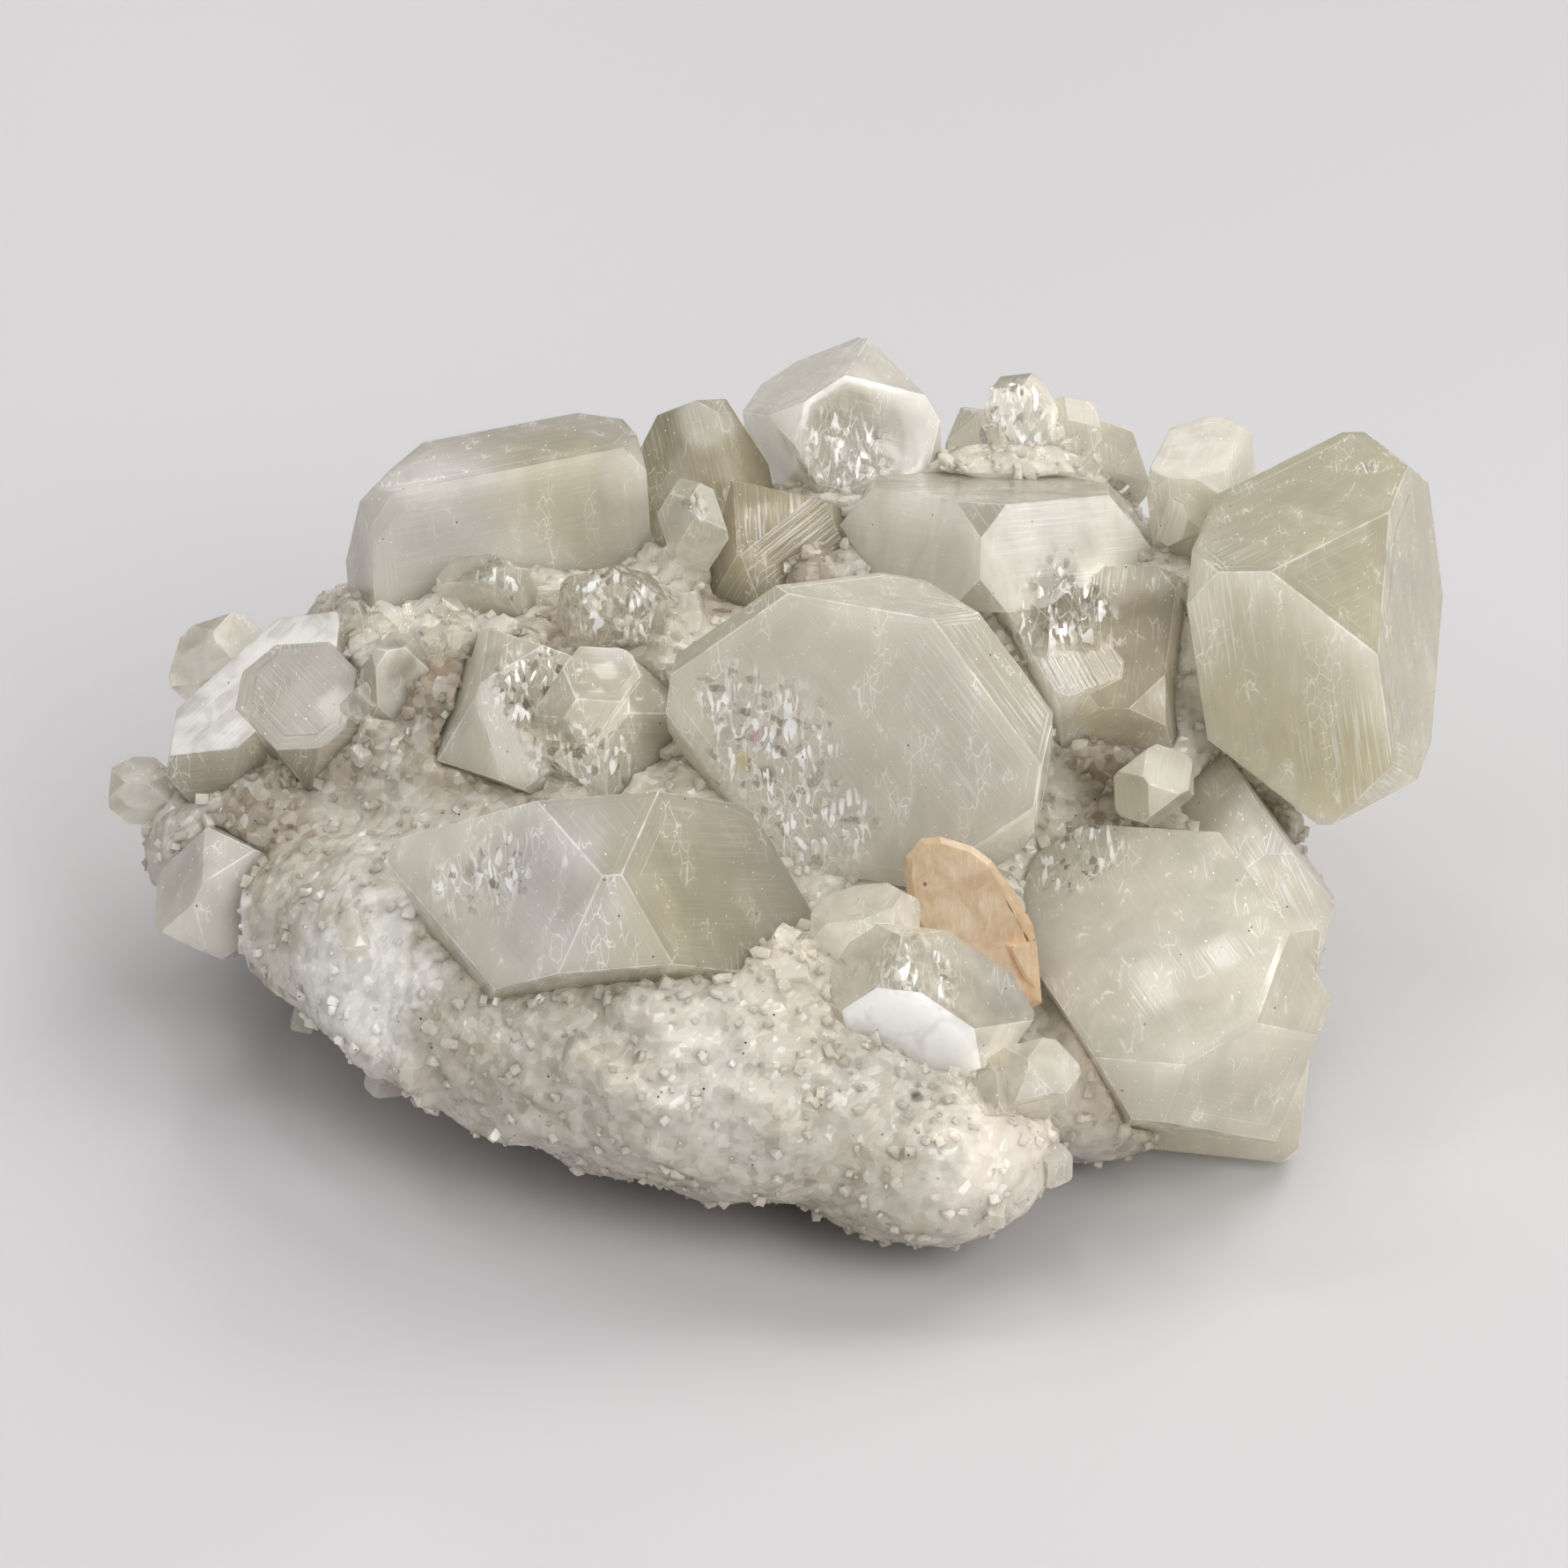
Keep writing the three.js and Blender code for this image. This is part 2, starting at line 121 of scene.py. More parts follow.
class Finish(Nodes):
    # one material and the few kinds of node that the finishes share
    def __init__(self, name):
        self.material = bpy.data.materials.new(name)
        self.material.use_nodes = True
        super().__init__(self.material.node_tree)

    def place(self, stretch=(1, 1, 1), turn=(0, 0, 0)):
        # object coordinates in millimetres, turned and stretched
        coords = self.node("ShaderNodeTexCoord", out=3)
        scale = [1000 * part for part in stretch]
        angles = [math.radians(part) for part in turn]
        sockets = {"Vector": coords, "Rotation": angles, "Scale": scale}
        return self.node("ShaderNodeMapping", {}, sockets)

    def faceLines(self, along, across):
        # the face's own UV in millimetres, with U along its longest edge
        uv = self.node("ShaderNodeUVMap", {"uv_map": "facePlan"})
        return self.node("ShaderNodeMapping", {}, {"Vector": uv, "Scale": (along, across, 1)})

    def cloud(self, vector, scale, detail=3.0, rough=0.5, twist=0.0):
        return self.node("ShaderNodeTexNoise", {}, {
            "Vector": vector, "Scale": scale, "Detail": detail, "Roughness": rough, "Distortion": twist})

    def cells(self, vector, scale, out=0, feature="F1"):
        sockets = {"Vector": vector, "Scale": scale}
        return self.node("ShaderNodeTexVoronoi", {"feature": feature}, sockets, out)

    def vectorMath(self, operation, first, second, out=0):
        return self.node("ShaderNodeVectorMath", {"operation": operation}, {0: first, 1: second}, out)

    def tiltedCells(self, vector, size):
        # small flat facets, each tilted its own way: their height in millimetres,
        # and a random value for each
        cell = self.cells(vector, 1 / size, "Color")
        tilt = self.vectorMath("SUBTRACT", cell, (0.5, 0.5, 0.5))
        away = self.vectorMath("SUBTRACT", vector, cell.sibling("Position"))
        height = self.vectorMath("DOT_PRODUCT", tilt, away, 1)
        return height, self.node("ShaderNodeSeparateColor", {}, {0: cell}, 2)

    def cellShade(self, vector, size):
        # a random value for each cell
        return self.node("ShaderNodeSeparateColor", {}, {0: self.cells(vector, 1 / size, "Color")}, 2)

    def bent(self, vector, size, reach):
        # coordinates pushed about, so that what is drawn in them curves
        sockets = {"Vector": vector, "Scale": 1 / size, "Detail": 0.0}
        push = self.node("ShaderNodeTexNoise", {}, sockets, 1)
        centred = self.vectorMath("SUBTRACT", push, (0.5, 0.5, 0.5))
        pushed = self.vectorMath("MULTIPLY", centred, (reach, reach, reach))
        return self.vectorMath("ADD", vector, pushed)

    def near(self, space, balls, ragged):
        # 1 within the given balls, in millimetres, fading out over a ragged edge
        total = None
        for point, radius in balls:
            away = self.vectorMath("DISTANCE", space, point, 1)
            mask = self.between(away + ragged * radius, 1.2 * radius, 0.5 * radius)
            total = mask if total is None else total.atLeast(mask)
        return total

    def between(self, value, low, high, start=0.0, end=1.0):
        # a clamped, smooth step from start to end as value goes from low to high
        settings = {"interpolation_type": "SMOOTHSTEP"}
        sockets = {0: value, 1: low, 2: high, 3: start, 4: end}
        return self.node("ShaderNodeMapRange", settings, sockets)

    def painted(self, name):
        return self.node("ShaderNodeAttribute", {"attribute_name": name}, out=2)

    def mixed(self, factor, first, second):
        return self.node("ShaderNodeMix", {"data_type": "RGBA"}, {0: factor, 6: first, 7: second}, 2)

    def bump(self, height, strength, distance, normal=None):
        sockets = {"Height": height, "Strength": strength, "Distance": distance}
        if normal is not None:
            sockets["Normal"] = normal
        return self.node("ShaderNodeBump", {}, sockets)

    def principled(self, sockets):
        return self.node("ShaderNodeBsdfPrincipled", {"subsurface_method": "BURLEY"}, sockets)

    def finish(self, surface, volume=None):
        sockets = {"Surface": surface}
        if volume is not None:
            sockets["Volume"] = volume
        self.node("ShaderNodeOutputMaterial", {}, sockets)
        return self.material


def tone(red, green, blue):
    # a display colour from 0 to 255 as a linear colour
    parts = [channel / 255 for channel in (red, green, blue)]
    linear = [part / 12.92 if part < 0.04045 else ((part + 0.055) / 1.055) ** 2.4
              for part in parts]
    return (*linear, 1)


# ---- mesh helpers

def asMesh(name, bm):
    mesh = bpy.data.meshes.new(name)
    bm.to_mesh(mesh)
    bm.free()
    return mesh


def meshPiece(name, bm, material, replaced=()):
    mesh = asMesh(name, bm)
    piece = bpy.data.objects.new(name, mesh)
    bpy.context.scene.collection.objects.link(piece)
    piece.data.materials.append(material)
    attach(piece, "root")
    if replaced:
        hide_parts(*replaced)
    return piece


weld = {"seam": 0.002, "sliver": 0.03, "flat": 0.6}  # mm, mm and degrees


def mergedNode(node):
    # a welded copy of a node's solid, with its flat faces whole again
    bm = bmesh.new()
    bm.from_mesh(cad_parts[node].data)
    bmesh.ops.remove_doubles(bm, verts=bm.verts, dist=weld["seam"] * mm)
    bmesh.ops.dissolve_limit(bm, angle_limit=math.radians(weld["flat"]),
                             use_dissolve_boundaries=False, verts=bm.verts, edges=bm.edges)
    bmesh.ops.remove_doubles(bm, verts=bm.verts, dist=weld["sliver"] * mm)
    bmesh.ops.recalc_face_normals(bm, faces=bm.faces)
    return bm


def closeCut(bm):
    # fills the hole that a cutting plane left
    rim = [edge for edge in bm.edges if edge.is_boundary]
    bmesh.ops.holes_fill(bm, edges=rim, sides=0)


def isConvex(face):
    corners = [loop.vert.co for loop in face.loops]
    for i, corner in enumerate(corners):
        before = corner - corners[i - 1]
        after = corners[(i + 1) % len(corners)] - corner
        if before.cross(after).dot(face.normal) < -1e-12:
            return False
    return True


def roundEdges(bm, edges, width, wornLayer):
    # bevelled edges, their new faces marked as worn
    rounded = bmesh.ops.bevel(bm, geom=edges, offset=width, segments=2, profile=0.5,
                              affect="EDGES", clamp_overlap=True, material=-1)
    for face in rounded["faces"]:
        face[wornLayer] = 1.0


def layFacePlans(bm):
    # UV in millimetres for each face, with U along its longest edge
    layer = bm.loops.layers.uv.new("facePlan")
    for face in bm.faces:
        longest = max(face.edges, key=lambda edge: edge.calc_length())
        along = (longest.verts[1].co - longest.verts[0].co).normalized()
        across = face.normal.cross(along)
        for loop in face.loops:
            loop[layer].uv = (loop.vert.co.dot(along) / mm, loop.vert.co.dot(across) / mm)


# ---- crystals

crystalCut = {
    "edgeWidth": 0.07, "edgeLeast": 0.02,  # mm, the rounding of a crystal's edges
    "nickDepth": (0.15, 0.45),  # mm, how deep the small broken places at corners go
    "nickTilt": 0.42, "nickReach": 2.5,  # mm, the furthest corner that a nick may take along
    "terraceFrom": 14,  # square mm, the smallest face that shows growth steps
    "terraceShare": 0.6,
    "terraceRise": (0.015, 0.045),
    "terraceInset": (0.3, 1.8), "stepRun": 0.03,  # mm
    "mistDepth": 0.35,  # how far light spreads in the milky part, as a share of the crystal's size
    "chipSize": 0.5, "chipTilt": 0.8,  # mm, broken facets inside the fractured places
    "splinterSize": 0.7,
    "streakHighlight": 0.85,  # how strongly the growth lines show as painted highlight
    # the paleness of the edges, partly worn frosting and partly painted glint, and how much a face's tone,
    # painted slope shade included, changes its milk
    "edgeWearAndGlint": 0.35, "faceMilk": 0.36,
    "growth": 0.11,  # mm, closes most of the clear space between neighbours
    "slopeShadeShare": 0.4,  # how much of a face's tone is painted shade by its slope: tops darker and clearer, steep faces paler and milkier
    "sharpFrom": 0.2,  # radians, the least turn of an edge that is rounded
    "index": 1.535,
    "glass": (0.97, 0.965, 0.95, 1), "lampGlass": (0.92, 0.91, 0.88, 1),
    "spread": (1.0, 0.97, 0.90),  # how far red, green and blue light spread, against each other
    # the pale tone of the painted highlight on growth lines, and the dark tone of painted reflections in
    # fractured chips
    "streakHighlightTone": (250, 249, 245), "darkReflectionTone": (132, 124, 110),
    # the white of the painted glints and highlights, and the tone of the dark specks
    "sparkleTone": (255, 255, 253), "dotTone": (58, 48, 40),
}

# milk: least and most of the milky part. haze: roughness of the clear part.
# streaks: strength of the growth lines, as bumps and as painted highlight. cloudSize: mm. shards: how much is
# fractured everywhere.
crystalLooks = {
    "clear": {
        "milk": (0.24, 0.46), "pale": (242, 237, 226), "shade": (204, 197, 182), "tint": (0.80, 0.80, 0.70),
        "density": 60, "streaks": 0.10, "haze": 0.03, "cloudSize": 2.5, "shards": 0.10},
    "frosted": {
        "milk": (0.48, 0.74), "pale": (244, 239, 226), "shade": (198, 191, 173), "tint": (0.80, 0.78, 0.68),
        "density": 60, "streaks": 0.16, "haze": 0.08, "cloudSize": 7.0, "shards": 0.02},
    "olive": {
        "milk": (0.48, 0.72), "pale": (233, 227, 209), "shade": (190, 183, 160), "tint": (0.77, 0.74, 0.54),
        "density": 60, "streaks": 0.16, "haze": 0.08, "cloudSize": 8.0, "shards": 0.02},
}

# patches that any crystal may carry: their tone, how strongly they show and how much milk they add
patchKinds = {
    # painted highlight: a white veil standing in for a tip that blazes with reflected light
    "whiteHighlight": {"tone": (255, 255, 254), "strength": 0.95, "milk": 0.55},
    "pale": {"tone": (226, 221, 209), "strength": 0.70, "milk": 0.15},
    # lilac: partly the crystal's own cool tone, partly painted reflection of the room's cool light on faces
    # turned to the side
    "lilac": {"tone": (206, 201, 196), "strength": 0.75, "milk": 0.15},
    "olive": {"tone": (202, 193, 162), "strength": 0.70, "milk": -0.04},
    "tan": {"tone": (190, 174, 142), "strength": 0.75, "milk": 0.0},
    "dark": {"tone": (150, 140, 124), "strength": 0.8, "milk": -0.10},
    # pink and yellow: painted iridescence, the colours that a thin crack reflects
    "pink": {"tone": (226, 176, 196), "strength": 0.60, "milk": 0.0},
    "yellow": {"tone": (226, 206, 140), "strength": 0.60, "milk": 0.0},
}

# the patterns inside a crystal. A scale is per millimetre, a depth or a radius in millimetres
crystalPattern = {
    "wispScale": 0.5, "wispStretch": (1, 1, 0.35), "wispTurn": (35, 20, 10),
    "lineStretch": (0.2, 6.0), "lineDepth": 0.08,  # along and across the growth lines
    "chipTurn": (20, 40, 10),
    "splinterStretch": (2.4, 0.5, 1), "splinterTurn": (10, 35, 60), "splinterBend": 2.0,
    "patchyScale": 0.9, "crackScale": 0.8, "crackWidth": (0.05, 0.01),
    "fleckScale": 1.5, "fleckStretch": (1.3, 0.35, 1.6), "fleckTurn": (50, 10, 35),
    "fleckRadius": (0.10, 0.05),
    "dotScale": 0.65, "dotRadius": (0.06, 0.04), "dotShow": 0.85,
    "gloss": (0.10, 0.26),  # roughness of the milky part
}


def crystalMaterial(name, look, plan, depth):
    pattern = crystalPattern
    made = Finish(name)
    space = made.place()
    clouds = made.cloud(space, 1 / look["cloudSize"], 1, 0.55, 0.4)
    wispSpace = made.place(pattern["wispStretch"], pattern["wispTurn"])
    wisps = made.cloud(wispSpace, pattern["wispScale"], 2, 0.6, 0.6)
    ragged = (clouds - 0.5) * 1.2 + (wisps - 0.5) * 0.4
    # painted shade by slope, mixed with a random tone for each face: faces that look up take the shade tone
    # and less milk, steep faces the pale tone and more
    faceToneAndShade = made.painted("faceToneAndShade")
    least, most = look["milk"]
    milk = made.between(clouds * 0.75 + wisps * 0.25, 0.34, 0.66, least, most)
    milk = milk + (faceToneAndShade - 0.5) * crystalCut["faceMilk"]
    pale = tone(*plan.get("pale", look["pale"]))
    shade = tone(*plan.get("shade", look["shade"]))
    body = made.mixed(made.between(clouds * 0.4 - faceToneAndShade * 0.6, -0.3, 0.1), pale, shade)
    for kind, balls in plan.get("patches", {}).items():
        patch = patchKinds[kind]
        mask = made.near(space, balls, ragged) * patch["strength"]
        body = made.mixed(mask, body, tone(*patch["tone"]))
        milk = milk + mask * patch["milk"]
    fineLines = made.cloud(made.faceLines(*pattern["lineStretch"]), 1.0, 1, 0.5)
    lined = look["streaks"]
    if "lines" in plan:
        lined = made.near(space, plan["lines"], ragged) * 0.75 + lined
    # the growth lines drawn pale as painted highlight, besides their bumps
    streaks = made.between(fineLines, 0.52, 0.66) * lined
    body = made.mixed(streaks * crystalCut["streakHighlight"], body, tone(*crystalCut["streakHighlightTone"]))
    broken = look["shards"] * made.between(wisps, 0.5, 0.64)
    if "shards" in plan:
        broken = made.near(space, plan["shards"], ragged).atLeast(broken)
    chipSpace = made.place((1, 1, 1), pattern["chipTurn"])
    chips, chipShade = made.tiltedCells(chipSpace, crystalCut["chipSize"])
    splinterSpace = made.place(pattern["splinterStretch"], pattern["splinterTurn"])
    splinterSpace = made.bent(splinterSpace, pattern["splinterBend"], pattern["splinterBend"])
    splinterShade = made.cellShade(splinterSpace, crystalCut["splinterSize"])
    patchy = made.between(made.cloud(space, pattern["patchyScale"], 0, 0.5), 0.42, 0.58)
    # painted reflections in the fractured places: some chips dark, some splinters and cracks pale as painted
    # glints
    darkChipReflections = made.between(chipShade, 0.28, 0.12) * broken * patchy
    sparkle = made.between(splinterShade, 0.70, 0.82) * broken * (1 - patchy * 0.6)
    crackEdge = made.cells(splinterSpace, pattern["crackScale"], 0, "DISTANCE_TO_EDGE")
    crackGlints = made.between(crackEdge, *pattern["crackWidth"])
    crackShow = broken * 0.3 + made.between(wisps, 0.52, 0.64) * 0.35
    sparkle = sparkle.atLeast(crackGlints * crackShow)
    # painted glints: small pale flecks scattered through the crystal
    fleckSpace = made.place(pattern["fleckStretch"], pattern["fleckTurn"])
    fleckGlints = made.between(made.cells(fleckSpace, pattern["fleckScale"]), *pattern["fleckRadius"])
    # edge faces paler: partly worn frosting, partly painted glint along the edges
    edges = made.painted("edgeWear")
    worn = edges * made.between(wisps, 0.42, 0.56, 0.25, 1.0) * crystalCut["edgeWearAndGlint"]
    # painted highlight: whole faces chosen to show white, as if mirroring a lamp
    whole = made.painted("faceHighlight") * made.between(wisps, 0.3, 0.6, 0.7, 1.0)
    # all the painted glints and highlights, with the worn edges, in one mask
    pales = sparkle.atLeast(fleckGlints * 0.8).atLeast(worn).atLeast(whole)
    body = made.mixed(darkChipReflections * 0.5, body, tone(*crystalCut["darkReflectionTone"]))
    body = made.mixed(pales, body, tone(*crystalCut["sparkleTone"]))
    dots = made.between(made.cells(space, pattern["dotScale"]), *pattern["dotRadius"])
    dots = dots * made.between(wisps, 0.48, 0.52)
    body = made.mixed(dots * pattern["dotShow"], body, tone(*crystalCut["dotTone"]))
    milk = (milk - darkChipReflections * 0.3 + pales * 0.5).atMost(0.98).atLeast(0.06)
    normal = made.bump(fineLines, lined, pattern["lineDepth"] * mm)
    normal = made.bump(chips, broken, crystalCut["chipTilt"] * mm, normal)
    glass = made.principled({
        "Base Color": crystalCut["glass"], "Roughness": look["haze"], "IOR": crystalCut["index"],
        "Transmission Weight": 1.0, "Normal": normal})
    gloss = made.between(wisps, 0.3, 0.7, *pattern["gloss"]) - broken * 0.05
    misty = made.principled({
        "Base Color": body, "Roughness": gloss, "IOR": crystalCut["index"], "Normal": normal,
        "Subsurface Weight": 1.0, "Subsurface Radius": crystalCut["spread"],
        "Subsurface Scale": depth})
    # lamps shine through the clear part, so that what lies behind it is lit
    lamplight = made.node("ShaderNodeLightPath", out=1)
    passing = made.node("ShaderNodeBsdfTransparent", {}, {"Color": crystalCut["lampGlass"]})
    clear = made.node("ShaderNodeMixShader", {}, {0: lamplight, 1: glass, 2: passing})
    surface = made.node("ShaderNodeMixShader", {}, {0: milk, 1: clear, 2: misty})
    inside = made.node("ShaderNodeVolumeAbsorption", {}, {
        "Color": (*look["tint"], 1), "Density": look["density"]})
    return made.finish(surface, inside)


def nickedCorners(bm, count, rng):
    # small broken places: a tilted plane takes a sliver off a corner, and the hole is closed
    low, high = crystalCut["nickDepth"]
    for _ in range(count):
        trial = bm.copy()
        corner = rng.choice(list(trial.verts))
        out = corner.normal.copy()
        lean = Vector((rng.uniform(-1, 1), rng.uniform(-1, 1), rng.uniform(-1, 1)))
        normal = (out + lean * crystalCut["nickTilt"]).normalized()
        point = corner.co - normal * rng.uniform(low, high) * mm
        ahead = [vert for vert in trial.verts if (vert.co - point).dot(normal) > 0]
        far = any((vert.co - corner.co).length > crystalCut["nickReach"] * mm for vert in ahead)
        if len(ahead) > 3 or far:
            trial.free()
            continue
        everything = trial.verts[:] + trial.edges[:] + trial.faces[:]
        bmesh.ops.bisect_plane(trial, geom=everything, plane_co=point, plane_no=normal,
                               clear_outer=True)
        closeCut(trial)
        trial.normal_update()
        if trial.faces and all(edge.is_manifold for edge in trial.edges):
            bm.free()
            bm = trial
        else:
            trial.free()
    return bm


def innerRadius(face):
    # how far a face's middle is from its nearest side
    middle = face.calc_center_median()
    distances = []
    for edge in face.edges:
        start, end = [vert.co for vert in edge.verts]
        along = (end - start).normalized()
        away = middle - start
        distances.append((away - along * away.dot(along)).length)
    return min(distances)


def growTerraces(bm, rng):
    # plateaus left by the last layers of growth, each with a low step round it
    lowInset, highInset = crystalCut["terraceInset"]
    lowRise, highRise = crystalCut["terraceRise"]
    limit = crystalCut["terraceFrom"] * mm * mm
    large = [face for face in bm.faces if face.calc_area() > limit and isConvex(face)]
    for face in large:
        inset = min(rng.uniform(lowInset, highInset) * mm, 0.3 * innerRadius(face))
        rise = rng.uniform(lowRise, highRise) * mm * rng.choice((1, 1, -1))
        shortest = min(edge.calc_length() for edge in face.edges)
        if rng.random() > crystalCut["terraceShare"] or shortest < inset:
            continue
        bmesh.ops.inset_individual(bm, faces=[face], thickness=inset, depth=0,
                                   use_even_offset=True)
        bmesh.ops.inset_individual(bm, faces=[face], thickness=crystalCut["stepRun"] * mm,
                                   depth=rise, use_even_offset=True)


def closestOn(face, point):
    # how far a point is from a face: off its plane, and beyond the reach of its corners
    off = abs((point - face.verts[0].co).dot(face.normal))
    middle = face.calc_center_median()
    reach = max((vert.co - middle).length for vert in face.verts)
    return off + max(0.0, (point - middle).length - reach)


swellLimits = {"from": 0.5, "most": 2.5}  # mm above the table, and times the growth


def swollen(bm, growth):
    # every face moved outwards by the same amount, but not where the crystal stands on the table
    bm.normal_update()
    moves = [(vert, vert.normal * vert.calc_shell_factor() * growth) for vert in bm.verts]
    for vert, move in moves:
        if vert.co.z > swellLimits["from"] * mm and move.length < swellLimits["most"] * growth:
            vert.co += move


def crystalPiece(name, plan):
    rng = random.Random(plan["seed"])
    bm = mergedNode(plan["node"])
    bm = nickedCorners(bm, plan.get("nicks", 0), rng)
    swollen(bm, crystalCut["growth"] * mm)
    faceToneAndShade = bm.faces.layers.float.new("faceToneAndShade")
    edgeWear = bm.faces.layers.float.new("edgeWear")
    for face in bm.faces:
        # painted shade by slope: faces that look up are clearer and darker, and the steep ones milkier and
        # paler
        steep = 1 - max(0.0, face.normal.z)
        share = crystalCut["slopeShadeShare"]
        face[faceToneAndShade] = (1 - share) * rng.random() + share * steep
    # painted highlights: the faces nearest the given points show white
    faceHighlight = bm.faces.layers.float.new("faceHighlight")
    for point, strength in plan.get("highlightFaces", []):
        nearest = min(bm.faces, key=lambda face: closestOn(face, Vector(point) * mm))
        nearest[faceHighlight] = strength
    sharp = [edge for edge in bm.edges
             if edge.is_manifold and edge.calc_face_angle(0) > crystalCut["sharpFrom"]]
    growTerraces(bm, rng)
    shortest = min(edge.calc_length() for edge in sharp)
    least = crystalCut["edgeLeast"] * mm
    width = max(least, min(crystalCut["edgeWidth"] * mm, 0.3 * shortest))
    roundEdges(bm, sharp, width, edgeWear)
    layFacePlans(bm)
    low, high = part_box(plan["node"])
    depth = crystalCut["mistDepth"] * min(top - bottom for bottom, top in zip(low, high))
    material = crystalMaterial(name + "Finish", crystalLooks[plan["look"]], plan, depth)
    return meshPiece(name, bm, material, (plan["node"],))
